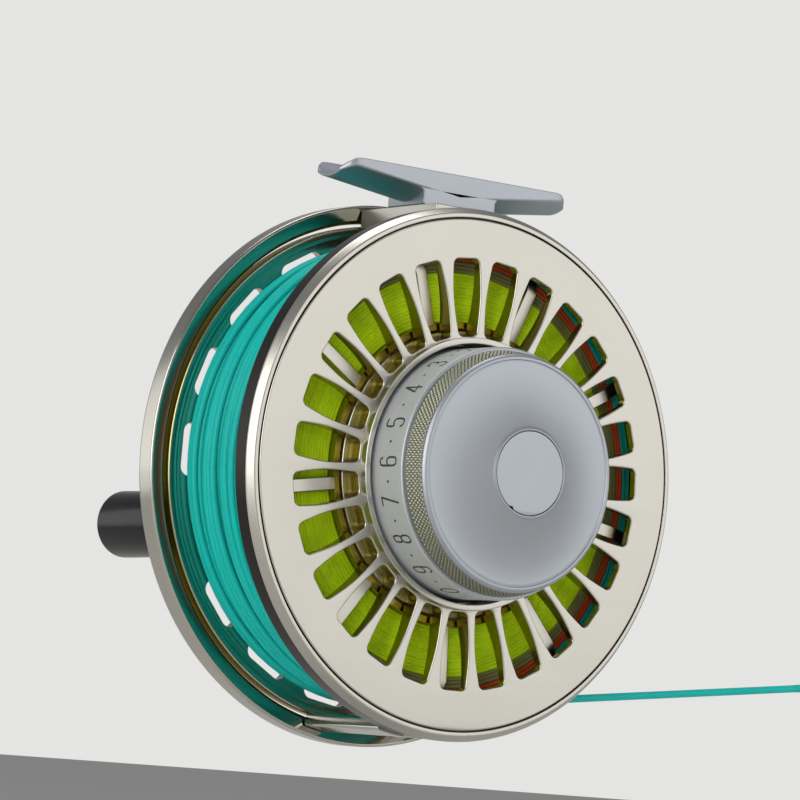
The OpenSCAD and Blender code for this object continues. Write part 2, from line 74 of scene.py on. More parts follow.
class ReelSizes(bpy.types.PropertyGroup):
    """Sizes of the reel that a maker would change."""

    window_count: IntProperty(
        name="Windows", description="Windows through the frame plate", default=27, min=12, max=27)
    slot_count: IntProperty(
        name="Slots", description="Slots round the handle-side flange", default=18, min=12, max=18)
    spoke_count: IntProperty(
        name="Spokes", description="Spokes of the drag-side flange", default=9, min=6, max=12)
    line_diameter: FloatProperty(
        name="Line", description="Diameter of the fly line", default=1.7 * MM, unit="LENGTH")
    braid_diameter: FloatProperty(
        name="Backing", description="Diameter of the backing", default=0.8 * MM, unit="LENGTH")
    knurl_pitch: FloatProperty(
        name="Knurl", description="Width of one diamond of the grip", default=1.05 * MM,
        unit="LENGTH")
    edge_break: FloatProperty(
        name="Edge", description="Chamfer on the machined edges", default=0.35 * MM, unit="LENGTH")


def colour(name, description, code):
    return FloatVectorProperty(
        name=name, description=description, default=linear(code), size=3, subtype="COLOR",
        min=0, max=1)


class ReelColours(bpy.types.PropertyGroup):
    """Colours of the reel's finishes."""

    champagne: colour("Champagne", "Anodised frame and spool", "#BDBAB1")
    # Painted reflection: a gold tone that stands in for the line's colour reflected in the faces
    # that look at it
    line_reflection_gold: colour("Line reflection gold", "Anodised inner faces, warmed by the line", "#A3974A")
    # Painted shade: a near black tone for the plate rim's side, its groove and the drag rim's
    # ledge, where shade falls
    shade: colour("Shade", "Side of the plate's rim", "#2F2D2A")
    silver: colour("Silver", "Anodised knob and foot", "#AEB3B9")
    grip: colour("Grip", "Knurled band of the knob", "#9A9B8A")
    dial: colour("Dial", "Blasted band with the figures", "#D6D9DB")
    steel: colour("Steel", "Turned stainless steel", "#A9ABAD")
    bronze: colour("Bronze", "Sintered bronze bushings", "#B08A50")
    rubber: colour("Rubber", "Nitrile seals", "#1C1D1F")
    acetal: colour("Acetal", "Handle knob", "#08090B")
    backing: colour("Backing", "Braided backing", "#C2E60A")
    running: colour("Running line", "Olive running line", "#7D7C48")
    head: colour("Line head", "Salmon line", "#D0501E")
    fly_line: colour("Fly line", "Turquoise line", "#0CBDB3")
    floor: colour("Floor", "Studio floor", "#E9E7E3")


# ---------------------------------------------------------------- materials


def add(tree, kind, inputs=None, **settings):
    """Adds one node with its settings; each input is a value or a socket to link from."""
    node = tree.nodes.new(kind)
    for name, value in settings.items():
        setattr(node, name, value)
    for key, value in (inputs or {}).items():
        if isinstance(value, bpy.types.NodeSocket):
            tree.links.new(value, node.inputs[key])
        else:
            node.inputs[key].default_value = value
    return node


def new_material(name, shader):
    """A material with a Principled shader whose plain sockets are set, and its node tree."""
    material = bpy.data.materials.new(name)
    material.use_nodes = True
    tree = material.node_tree
    principled = tree.nodes["Principled BSDF"]
    for key, value in shader.items():
        principled.inputs[key].default_value = value
    return material, tree, principled


def wear(tree, rgb, spread, scale):
    """The colour with a slow change over the surface, spread either side; scale in 1/m."""
    where = add(tree, "ShaderNodeTexCoord").outputs["Object"]
    noise = add(tree, "ShaderNodeTexNoise", {"Vector": where, "Scale": scale, "Detail": 3.0})
    low = [c * (1 - spread) for c in rgb] + [1]
    high = [min(1, c * (1 + spread)) for c in rgb] + [1]
    ramp = add(tree, "ShaderNodeMix", {0: noise.outputs["Fac"], 6: low, 7: high}, data_type="RGBA")
    return ramp.outputs[2]


def axle_radius(tree, centre):
    """Distance from an axis along Y through centre, in metres."""
    where = add(tree, "ShaderNodeTexCoord").outputs["Object"]
    moved = add(tree, "ShaderNodeVectorMath", {0: where, 1: centre}, operation="SUBTRACT")
    flat = add(tree, "ShaderNodeVectorMath", {0: moved.outputs[0], 1: (1, 0, 1)},
               operation="MULTIPLY")
    length = add(tree, "ShaderNodeVectorMath", {0: flat.outputs[0]}, operation="LENGTH")
    return length.outputs["Value"]


def turned_lines(tree, centre, spacing, depth):
    """Fine rings that a lathe leaves, spacing and depth in metres, as a bump."""
    radius = axle_radius(tree, centre)
    where = add(tree, "ShaderNodeTexCoord").outputs["Object"]
    along = add(tree, "ShaderNodeSeparateXYZ", {0: where}).outputs["Y"]
    both = add(tree, "ShaderNodeCombineXYZ", {0: radius, 1: along})
    noise = add(tree, "ShaderNodeTexNoise",
                {"Vector": both.outputs[0], "Scale": 1 / spacing, "Detail": 2.0})
    return add(tree, "ShaderNodeBump", {"Height": noise.outputs["Fac"], "Distance": depth,
                                        "Strength": 1.0})


def anodised_aluminium(name, rgb, roughness, spacing, depth, coat=0.0):
    # Turned or milled aluminium, blasted and anodised: a soft metallic sheen with the
    # faintest trace of the cutter's rings, and a slow change of tone in the dye.
    material, tree, shader = new_material(
        name, {"Metallic": 1.0, "Coat Weight": coat, "Coat Roughness": 0.25})
    tree.links.new(wear(tree, rgb, 0.03, 60), shader.inputs["Base Color"])
    radius = axle_radius(tree, (0, 0, AXLE_Z))
    grain = add(tree, "ShaderNodeTexNoise", {
        "Vector": add(tree, "ShaderNodeCombineXYZ", {0: radius}).outputs[0],
        "Scale": 1 / (3 * spacing), "Detail": 3.0})
    rough = add(tree, "ShaderNodeMapRange", {
        0: grain.outputs["Fac"], 3: roughness - 0.03, 4: roughness + 0.03})
    tree.links.new(rough.outputs[0], shader.inputs["Roughness"])
    bump = turned_lines(tree, (0, 0, AXLE_Z), spacing, depth)
    tree.links.new(bump.outputs["Normal"], shader.inputs["Normal"])
    return material


def stainless_steel(name, rgb, roughness, centre):
    # Turned stainless steel: brighter and harder than the anodised pieces, with visible
    # fine rings from the lathe, 0.15 mm apart.
    material, tree, shader = new_material(name, {"Metallic": 1.0})
    tree.links.new(wear(tree, rgb, 0.05, 120), shader.inputs["Base Color"])
    shader.inputs["Roughness"].default_value = roughness
    bump = turned_lines(tree, centre, 0.15 * MM, 0.004 * MM)
    tree.links.new(bump.outputs["Normal"], shader.inputs["Normal"])
    return material


def nitrile_rubber(name, rgb):
    # Moulded nitrile: near black, soft, with a fine bloom on the skin.
    material, tree, shader = new_material(name, {"IOR": 1.52})
    tree.links.new(wear(tree, rgb, 0.3, 900), shader.inputs["Base Color"])
    shader.inputs["Roughness"].default_value = 0.6
    where = add(tree, "ShaderNodeTexCoord").outputs["Object"]
    skin = add(tree, "ShaderNodeTexNoise", {"Vector": where, "Scale": 6000.0})
    bump = add(tree, "ShaderNodeBump", {"Height": skin.outputs["Fac"], "Distance": 0.01 * MM})
    tree.links.new(bump.outputs["Normal"], shader.inputs["Normal"])
    return material


def sintered_bronze(name, rgb):
    # Oil-filled sintered bronze: warm metal with open pores about 0.1 mm across.
    material, tree, shader = new_material(name, {"Metallic": 1.0})
    tree.links.new(wear(tree, rgb, 0.12, 500), shader.inputs["Base Color"])
    shader.inputs["Roughness"].default_value = 0.42
    where = add(tree, "ShaderNodeTexCoord").outputs["Object"]
    pores = add(tree, "ShaderNodeTexVoronoi", {"Vector": where, "Scale": 9000.0})
    bump = add(tree, "ShaderNodeBump", {"Height": pores.outputs["Distance"],
                                        "Distance": 0.01 * MM})
    tree.links.new(bump.outputs["Normal"], shader.inputs["Normal"])
    return material


def carbon_fibre(name):
    # Woven carbon friction disc: a dark 2 mm plain weave that glints one way then the other.
    material, tree, shader = new_material(name, {"IOR": 1.55, "Specular IOR Level": 0.6})
    where = add(tree, "ShaderNodeTexCoord").outputs["Object"]
    cells = add(tree, "ShaderNodeTexChecker", {
        "Vector": where, "Color1": (0.012, 0.012, 0.013, 1), "Color2": (0.03, 0.03, 0.032, 1),
        "Scale": 500.0})
    tree.links.new(cells.outputs["Color"], shader.inputs["Base Color"])
    rough = add(tree, "ShaderNodeMapRange", {0: cells.outputs["Fac"], 3: 0.38, 4: 0.6})
    tree.links.new(rough.outputs[0], shader.inputs["Roughness"])
    return material


def braided_polyester(name, rgb):
    # Hollow braided polyester: matt and bright, with the plaits crossing every 0.5 mm.
    material, tree, shader = new_material(name, {
        "IOR": 1.45, "Roughness": 0.7, "Specular IOR Level": 0.25})
    radius = axle_radius(tree, (0, 0, AXLE_Z))
    where = add(tree, "ShaderNodeTexCoord").outputs["Object"]
    moved = add(tree, "ShaderNodeVectorMath", {0: where, 1: (0, 0, AXLE_Z)}, operation="SUBTRACT")
    parts = add(tree, "ShaderNodeSeparateXYZ", {0: moved.outputs[0]})
    angle = add(tree, "ShaderNodeMath", {0: parts.outputs["X"], 1: parts.outputs["Z"]},
                operation="ARCTAN2")
    turn = add(tree, "ShaderNodeMath", {0: angle.outputs[0], 1: 460.0}, operation="MULTIPLY")
    ring = add(tree, "ShaderNodeMath", {0: radius, 1: 8000.0}, operation="MULTIPLY")
    slant = add(tree, "ShaderNodeMath", {0: turn.outputs[0], 1: ring.outputs[0]})
    plait = add(tree, "ShaderNodeMath", {0: slant.outputs[0]}, operation="SINE")
    noise = add(tree, "ShaderNodeTexNoise", {"Vector": where, "Scale": 250.0, "Detail": 4.0})
    level = add(tree, "ShaderNodeMath", {0: plait.outputs[0], 1: 0.12, 2: noise.outputs["Fac"]},
                operation="MULTIPLY_ADD")
    dark = [c * 0.86 for c in rgb] + [1]
    light = [min(1, c * 1.16) for c in rgb] + [1]
    tone = add(tree, "ShaderNodeMapRange", {0: level.outputs[0], 1: 0.3, 2: 0.75})
    mix = add(tree, "ShaderNodeMix", {0: tone.outputs[0], 6: dark, 7: light}, data_type="RGBA")
    tree.links.new(mix.outputs[2], shader.inputs["Base Color"])
    bump = add(tree, "ShaderNodeBump", {"Height": plait.outputs[0], "Distance": 0.03 * MM,
                                        "Strength": 0.6})
    tree.links.new(bump.outputs["Normal"], shader.inputs["Normal"])
    return material


def coated_line(name, rgb, spread=0.1):
    # Polyvinyl chloride over a braided core: waxy and evenly dyed, with a soft highlight
    # along each strand and a faint texture of the core, 0.4 mm.
    material, tree, shader = new_material(name, {
        "IOR": 1.45, "Roughness": 0.46, "Specular IOR Level": 0.3})
    tree.links.new(wear(tree, rgb, spread, 180), shader.inputs["Base Color"])
    where = add(tree, "ShaderNodeTexCoord").outputs["Object"]
    core = add(tree, "ShaderNodeTexNoise", {"Vector": where, "Scale": 2500.0, "Detail": 1.0})
    bump = add(tree, "ShaderNodeBump", {"Height": core.outputs["Fac"], "Distance": 0.02 * MM,
                                        "Strength": 0.5})
    tree.links.new(bump.outputs["Normal"], shader.inputs["Normal"])
    return material


def polished_acetal(name, rgb):
    # Turned and polished acetal: deep black with a sharp gloss and very light hairlines.
    material, tree, shader = new_material(name, {
        "IOR": 1.48, "Specular IOR Level": 0.3, "Coat Weight": 0.15, "Coat Roughness": 0.06})
    tree.links.new(wear(tree, rgb, 0.2, 150), shader.inputs["Base Color"])
    where = add(tree, "ShaderNodeTexCoord").outputs["Object"]
    haze = add(tree, "ShaderNodeTexNoise", {"Vector": where, "Scale": 220.0, "Detail": 4.0})
    rough = add(tree, "ShaderNodeMapRange", {0: haze.outputs["Fac"], 3: 0.14, 4: 0.24})
    tree.links.new(rough.outputs[0], shader.inputs["Roughness"])
    return material


def blasted_aluminium(name, rgb):
    # Bead-blasted and clear anodised: a pale, even grey that scatters light from every side,
    # with pits about 0.15 mm across.
    material, tree, shader = new_material(name, {"Metallic": 0.55, "Roughness": 0.55})
    tree.links.new(wear(tree, rgb, 0.05, 400), shader.inputs["Base Color"])
    where = add(tree, "ShaderNodeTexCoord").outputs["Object"]
    pits = add(tree, "ShaderNodeTexNoise", {"Vector": where, "Scale": 6500.0, "Detail": 2.0})
    bump = add(tree, "ShaderNodeBump", {"Height": pits.outputs["Fac"], "Distance": 0.01 * MM})
    tree.links.new(bump.outputs["Normal"], shader.inputs["Normal"])
    return material


def engraved_aluminium(name, rgb):
    # The floor of an engraved figure: bare dark metal that the blasting doesn't reach.
    material, tree, shader = new_material(name, {"Metallic": 0.6})
    tree.links.new(wear(tree, rgb, 0.15, 900), shader.inputs["Base Color"])
    shader.inputs["Roughness"].default_value = 0.6
    return material


def painted_floor(name, rgb):
    # Matt painted board: pale, with the slightest mottle from the roller.
    material, tree, shader = new_material(name, {"IOR": 1.45, "Roughness": 0.85})
    tree.links.new(wear(tree, rgb, 0.015, 3), shader.inputs["Base Color"])
    return material


FINISHES = {}


def make_finishes(colours):
    """Makes every material once, under a short name."""
    axle = (0, 0, AXLE_Z)
    grip = tuple(HANDLE_AXIS)
    FINISHES.update({
        "champagne": anodised_aluminium(
            "champagne_anodised_aluminium", colours.champagne, 0.3, 0.25 * MM, 0.0015 * MM),
        "bright": anodised_aluminium(
            "bright_turned_aluminium", colours.champagne, 0.16, 0.2 * MM, 0.001 * MM),
        # Painted reflection: the line's warm colour reflected in the inner faces, put into the base
        # colour as gold
        "line_reflection_gold": anodised_aluminium(
            "line_reflection_gold_aluminium", colours.line_reflection_gold, 0.26, 0.2 * MM, 0.001 * MM),
        # Painted shade: the dark base colour stands for shade, not for a darker dye
        "shade": anodised_aluminium(
            "painted_shade_aluminium", colours.shade, 0.24, 0.25 * MM, 0.001 * MM),
        "silver": anodised_aluminium(
            "silver_anodised_aluminium", colours.silver, 0.36, 0.2 * MM, 0.003 * MM),
        "satin": anodised_aluminium(
            "satin_anodised_aluminium", colours.silver, 0.46, 0.2 * MM, 0.003 * MM),
        "grip": anodised_aluminium(
            "knurled_anodised_aluminium", colours.grip, 0.34, 0.2 * MM, 0.001 * MM),
        "dial": blasted_aluminium("blasted_dial_aluminium", colours.dial),
        "engraving": engraved_aluminium("engraved_aluminium", linear("#54575A")),
        "steel": stainless_steel("turned_stainless_steel", colours.steel, 0.25, axle),
        "grip_steel": stainless_steel("turned_steel_grip_post", colours.steel, 0.25, grip),
        "bronze": sintered_bronze("sintered_bronze", colours.bronze),
        "rubber": nitrile_rubber("nitrile_rubber", colours.rubber),
        "carbon": carbon_fibre("woven_carbon_fibre"),
        "backing": braided_polyester("braided_polyester", colours.backing),
        "running": coated_line("olive_coated_line", colours.running, 0.2),
        "head": coated_line("salmon_coated_line", colours.head, 0.12),
        "fly_line": coated_line("turquoise_coated_line", colours.fly_line, 0.1),
        "acetal": polished_acetal("polished_acetal", colours.acetal),
        "floor": painted_floor("painted_board", colours.floor),
    })


# ---------------------------------------------------------------- shapes


def polar(clock, r, y, centre=None):
    """Point r from an axis, at a clock angle in degrees from the top seen from the knob."""
    at = centre or Vector((0, 0, AXLE_Z))
    a = math.radians(clock)
    return Vector((at.x + r * MM * math.sin(a), y * MM, at.z + r * MM * math.cos(a)))


def rounded(corners, steps=3):
    """Outline through (r, y) or (r, y, setback) corners; a setback rounds its corner."""
    out = []
    count = len(corners)
    for i, corner in enumerate(corners):
        here = Vector(corner[:2])
        setback = corner[2] if len(corner) > 2 else 0
        if not setback:
            out.append(here)
            continue
        before = Vector(corners[i - 1][:2]) - here
        after = Vector(corners[(i + 1) % count][:2]) - here
        start = here + before.normalized() * min(setback, before.length * 0.48)
        end = here + after.normalized() * min(setback, after.length * 0.48)
        for k in range(steps + 1):
            t = k / steps
            out.append((1 - t) ** 2 * start + 2 * t * (1 - t) * here + t * t * end)
    return out


def arc(cx, cy, r, start, end, steps):
    """Points of an arc in degrees."""
    return [(cx + r * math.cos(math.radians(start + (end - start) * i / steps)),
             cy + r * math.sin(math.radians(start + (end - start) * i / steps)))
            for i in range(steps + 1)]


def finish_mesh(piece, finish, sharp=40):
    """Gives a new piece its material, smooth shading with crisp edges, and even normals."""
    mesh = piece.data
    if not mesh.materials:
        mesh.materials.append(FINISHES[finish])
    mesh.shade_smooth()
    mesh.set_sharp_from_angle(angle=math.radians(sharp))
    even = piece.modifiers.new("even normals", "WEIGHTED_NORMAL")
    even.keep_sharp = True
    return piece


def refinish(piece, finish, chosen):
    """Gives the faces that chosen picks a second finish."""
    mesh = piece.data
    mesh.materials.append(FINISHES[finish])
    for face in mesh.polygons:
        if chosen(face):
            face.material_index = len(mesh.materials) - 1


def from_bmesh(name, bm, finish, sharp=40):
    """Object from a bmesh, with its faces turned outwards."""
    bmesh.ops.remove_doubles(bm, verts=bm.verts, dist=1e-7)
    bmesh.ops.recalc_face_normals(bm, faces=bm.faces)
    mesh = bpy.data.meshes.new(name)
    bm.to_mesh(mesh)
    bm.free()
    piece = bpy.data.objects.new(name, mesh)
    bpy.context.scene.collection.objects.link(piece)
    return finish_mesh(piece, finish, sharp)


def lathe_into(bm, outline, segments=192, centre=None):
    """Adds a closed outline of (r, y) in mm turned round an axis."""
    rings = []
    for r, y in outline:
        if r < 1e-6:
            rings.append([bm.verts.new(polar(0, 0, y, centre))])
        else:
            rings.append([bm.verts.new(polar(360 * k / segments, r, y, centre))
                          for k in range(segments)])
    for i, here in enumerate(rings):
        there = rings[(i + 1) % len(rings)]
        if len(here) == 1 and len(there) == 1:
            continue
        for k in range(segments):
            n = (k + 1) % segments
            corners = [here[k % len(here)], here[n % len(here)],
                       there[n % len(there)], there[k % len(there)]]
            unique = list(dict.fromkeys(corners))
            if len(unique) > 2:
                bm.faces.new(unique)


def lathe(name, corners, finish, segments=192, centre=None, sharp=40, steps=3):
    """A turned piece from its corners."""
    bm = bmesh.new()
    lathe_into(bm, rounded(corners, steps), segments, centre)
    return from_bmesh(name, bm, finish, sharp)


def cut_plate(name, outlines, front, back, edge, finish, shape=None, sharp=40, bevel_steps=2):
    """A flat plate from closed (x, z) outlines in mm, the first the outside and the rest
    holes, from front to back along Y with chamfered edges; shape moves its points."""
    curve = bpy.data.curves.new(name + "_outline", "CURVE")
    curve.dimensions = "2D"
    curve.fill_mode = "BOTH"
    curve.bevel_depth = edge * MM
    curve.bevel_resolution = bevel_steps
    curve.offset = -edge * MM
    curve.extrude = (back - front) / 2 * MM - edge * MM
    for outline in outlines:
        spline = curve.splines.new("POLY")
        spline.points.add(len(outline) - 1)
        spline.use_cyclic_u = True
        for point, (x, z) in zip(spline.points, outline):
            point.co = (x * MM, z * MM, 0, 1)
    holder = bpy.data.objects.new(name + "_outline", curve)
    bpy.context.scene.collection.objects.link(holder)
    shaped = holder.evaluated_get(bpy.context.evaluated_depsgraph_get())
    mesh = bpy.data.meshes.new_from_object(shaped)
    bpy.data.objects.remove(holder)
    bpy.data.curves.remove(curve)
    middle = (front + back) / 2
    for vertex in mesh.vertices:
        x, z, depth = vertex.co
        y = middle * MM - depth
        if shape:
            x, y, z = (v * MM for v in shape(x / MM, y / MM, z / MM))
        vertex.co = (x, y, z + AXLE_Z)
    bm = bmesh.new()
    bm.from_mesh(mesh)
    bpy.data.meshes.remove(mesh)
    return from_bmesh(name, bm, finish, sharp)


def tube_into(bm, path, radius, sides, centre=None, closed=False, cap=True):
    """Adds a round tube along path, its rings turned to face the axle."""
    at = centre or Vector((0, 0, AXLE_Z))
    rings = []
    count = len(path)
    for i, point in enumerate(path):
        ahead = path[(i + 1) % count] if closed or i + 1 < count else point
        behind = path[i - 1] if closed or i else point
        tangent = (ahead - behind).normalized()
        out = Vector((point.x - at.x, 0, point.z - at.z))
        out = (out - tangent * out.dot(tangent)).normalized()
        side = tangent.cross(out)
        r = radius(i / max(1, count - 1)) if callable(radius) else radius
        rings.append([bm.verts.new(point + (out * math.cos(a) + side * math.sin(a)) * r)
                      for a in (2 * math.pi * k / sides for k in range(sides))])
    pairs = list(zip(rings, rings[1:])) + ([(rings[-1], rings[0])] if closed else [])
    for one, two in pairs:
        for k in range(sides):
            n = (k + 1) % sides
            bm.faces.new((one[k], one[n], two[n], two[k]))
    if cap and not closed:
        bm.faces.new(rings[0])
        bm.faces.new(rings[-1])


def join(name, pieces):
    """Joins pieces into the first, under a new name, and keeps their finishes."""
    first = pieces[0]
    bm = bmesh.new()
    for piece in pieces:
        start = len(bm.faces)
        bm.from_mesh(piece.data)
        bm.faces.ensure_lookup_table()
        for material in piece.data.materials:
            if material.name not in first.data.materials:
                first.data.materials.append(material)
        for face in bm.faces[start:]:
            material = piece.data.materials[face.material_index]
            face.material_index = first.data.materials.find(material.name)
    bm.to_mesh(first.data)
    bm.free()
    for piece in pieces[1:]:
        bpy.data.objects.remove(piece)
    first.name = name
    return first


def circle_outline(r, steps, cx=0, cz=0):
    return [(cx + r * math.sin(2 * math.pi * i / steps), cz + r * math.cos(2 * math.pi * i / steps))
            for i in range(steps)]


def slot_outline(clock, r_in, r_out, w_in, w_mid, w_out, corner, steps=6):
    """A rounded slot that runs outwards at a clock angle, with bowed sides; (x, z) in mm."""
    low, high = r_in + corner, r_out - corner
    bow = [((low * (1 - t) + high * t),
            (w_in / 2 + (w_out - w_in) / 2 * t)
            + (w_mid - (w_in + w_out) / 2) / 2 * math.sin(math.pi * t))
           for t in (k / 6 for k in range(1, 6))]
    half = arc(low, w_in / 2 - corner, corner, 180, 95, steps) + bow \
        + arc(high, w_out / 2 - corner, corner, 88, 0, steps)
    outline = half + [(u, -v) for u, v in reversed(half)]
    a = math.radians(clock)
    return [(u * math.sin(a) + v * math.cos(a), u * math.cos(a) - v * math.sin(a))
            for u, v in outline]


def placed(piece, body, *nodes):
    """Rides a piece on a body and hides the nodes that it stands for."""
    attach(piece, body)
    if nodes:
        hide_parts(*nodes)
    return piece


# ---------------------------------------------------------------- pieces


# The line's route from where it leaves the pack, as X and height above the axle in mm
LINE_Y = 2.5
LINE_ROUTE = ((5, -50.2), (15, -49.2), (30, -47.7), (45, -46.2), (60, -44.7), (75, -43.2),
              (90, -41.7), (105, -40.2), (122, -38.5))


class REEL_OT_line_out(bpy.types.Operator):
    """The line that leaves the reel, with its welded loop"""
    bl_idname = "reel.line_out"
    bl_label = "Line out"

    def execute(self, context):
        radius = context.scene.reel_sizes.line_diameter / 2
        points = []
        for (x0, z0), (x1, z1) in zip(LINE_ROUTE, LINE_ROUTE[1:]):
            for k in range(3):
                t = k / 3
                points.append(Vector(((x0 + (x1 - x0) * t) * MM, LINE_Y * MM,
                                      (z0 + (z1 - z0) * t) * MM + AXLE_Z)))
        end_x, end_z = LINE_ROUTE[-1]
        points.append(Vector((end_x * MM, LINE_Y * MM, end_z * MM + AXLE_Z)))
        bm = bmesh.new()
        tube_into(bm, points, radius, 20)
        line = placed(from_bmesh("line_out", bm, "fly_line"), "frame", "line_out")
        middle = points[-1] + Vector((5.05 * MM, 0, 0.5 * MM))
        loop = []
        for k in range(49):
            a = math.radians(180 + 360 * k / 48)
            loop.append(middle + Vector((4.2 * MM * math.cos(a), 0, 4.2 * MM * math.sin(a))))
        bm = bmesh.new()
        tube_into(bm, loop[:-1], radius, 16, centre=middle, closed=True)
        sleeve = [points[-1] + (points[-2] - points[-1]).normalized() * d * MM
                  for d in (-1.5, 0, 2, 4, 6)]
        tube_into(bm, sleeve, lambda t: radius * (1.25 - 0.22 * t), 16)
        eye = placed(from_bmesh("line_loop", bm, "fly_line"), "frame", "line_loop")
        return {"FINISHED"}


PLATE_Y, EDGE_Y = -17.1, -14.5      # flat face of the plate and outer edge of its bevel
WINDOW_START = -6.1                 # clock angle of the first window
WINDOW_IN, WINDOW_OUT = 29.7, 46.4


class REEL_OT_frame_plate(bpy.types.Operator):
    """The frame's plate on the drag side: windowed face, rim, collar and boss"""
    bl_idname = "reel.frame_plate"
    bl_label = "Frame plate"

    def execute(self, context):
        sizes = context.scene.reel_sizes
        edge = sizes.edge_break / MM
        outlines = [circle_outline(55.05, 360), circle_outline(28.6, 240)]
        step = 360 / sizes.window_count
        for i in range(sizes.window_count):
            outlines.append(slot_outline(
                WINDOW_START + i * step, WINDOW_IN, WINDOW_OUT, 5.1, 7.1, 6.9, 1.3))

        def cone(x, y, z):
            r = math.hypot(x, z)
            if y < -15.6:
                return x, y, z
            deep = -12.9 + (min(max(r, 31), 46.6) - 31) / 15.6 * -2.5
            return x, deep + (y + 12.9) * 0.3 if y > -14 else y, z

        face = cut_plate("plate_face", outlines, PLATE_Y, -12.9, edge, "champagne", cone)
        # Painted reflection: the window walls and the back take the gold that stands in for the
        # line's colour reflected in them
        refinish(face, "line_reflection_gold", lambda f: abs(f.normal.y) < 0.45 or f.normal.y > 0)
        bm = bmesh.new()
        lathe_into(bm, rounded([
            (54.9, -15.2), (55.0, PLATE_Y + 0.6), (55.3, PLATE_Y + 0.6),
            (55.4, PLATE_Y + 0.12, 0.12),
            (56.3, PLATE_Y + 0.1, 0.3), (57.4, EDGE_Y - 1, 0.3), (57.5, -15.2, 0.1),
            (57.35, -11.3, 0.25), (54.9, -11.3, 0.2)]), 360)
        rim = from_bmesh("plate_rim", bm, "champagne", 30)
        # Painted shade: the rim's side and its groove are darkened where shade falls
        refinish(rim, "shade", lambda f: f.center.y > -15.3 * MM or (
            math.hypot(f.center.x, f.center.z - AXLE_Z) < 55.36 * MM))
        bm = bmesh.new()
        lathe_into(bm, rounded([
            (4, -12.9), (28, -12.9, 0.2), (28, -19.1, 0.3), (29.35, -19.1, 0.3), (29.35, -16.9),
            (29.35, -12.9), (31, -12.9, 0.3), (31, -10.9, 0.2), (4, -10.9)]), 240)
        collar = from_bmesh("plate_collar", bm, "champagne", 30)
        plate = join("frame_plate_piece", [face, rim, collar])
        placed(plate, "frame", "frame_plate", "frame_ribs", "frame_cup")
        return {"FINISHED"}


class REEL_OT_frame_ring(bpy.types.Operator):
    """The frame's ring on the handle side"""
    bl_idname = "reel.frame_ring"
    bl_label = "Frame ring"

    def execute(self, context):
        ring = lathe("frame_ring_piece", [
            (56, 17.6, 0.2), (56.5, 17.2, 0.1), (56.7, 16.9, 0.1), (59.5, 16.2, 0.15),
            (60, 16.5, 0.2), (60, 20.9, 0.4), (59.6, 21.2, 0.3), (56.3, 21.2, 0.25),
            (56, 20.9, 0.2)], "bright", 360, sharp=28)
        # Painted reflection: the ring's inner faces, which look at the line, take the gold that
        # stands in for its reflected colour
        refinish(ring, "line_reflection_gold", lambda f: (
            math.hypot(f.center.x, f.center.z - AXLE_Z) < 56.75 * MM and f.center.y < 20 * MM))
        placed(ring, "frame", "frame_ring")
        return {"FINISHED"}


class REEL_OT_frame_pillars(bpy.types.Operator):
    """The two pillars at the bottom of the frame"""
    bl_idname = "reel.frame_pillars"
    bl_label = "Frame pillars"

    def execute(self, context):
        bm = bmesh.new()
        for clock in (168, 192):
            a = math.radians(clock)
            section = rounded([(55.4, -3, 0.5), (58.0, -3, 0.8), (58.0, 3, 0.8), (55.4, 3, 0.5)], 4)
            rows = []
            for y in (-11.4, -10.6, 16.2):
                grow = 0.5 if y < -11 else 0
                row = []
                for r, w in section:
                    u = w + (grow if w > 0 else -grow)
                    point = Vector((r * math.sin(a) + u * math.cos(a), y,
                                    r * math.cos(a) - u * math.sin(a) + AXLE_Z / MM)) * MM
                    row.append(bm.verts.new(point))
                rows.append(row)
            for one, two in zip(rows, rows[1:]):
                for k in range(len(section)):
                    n = (k + 1) % len(section)
                    bm.faces.new((one[k], one[n], two[n], two[k]))
            bm.faces.new(rows[0])
            bm.faces.new(rows[-1])
        placed(from_bmesh("frame_pillars_piece", bm, "bright"), "frame", "frame_pillars")
        return {"FINISHED"}


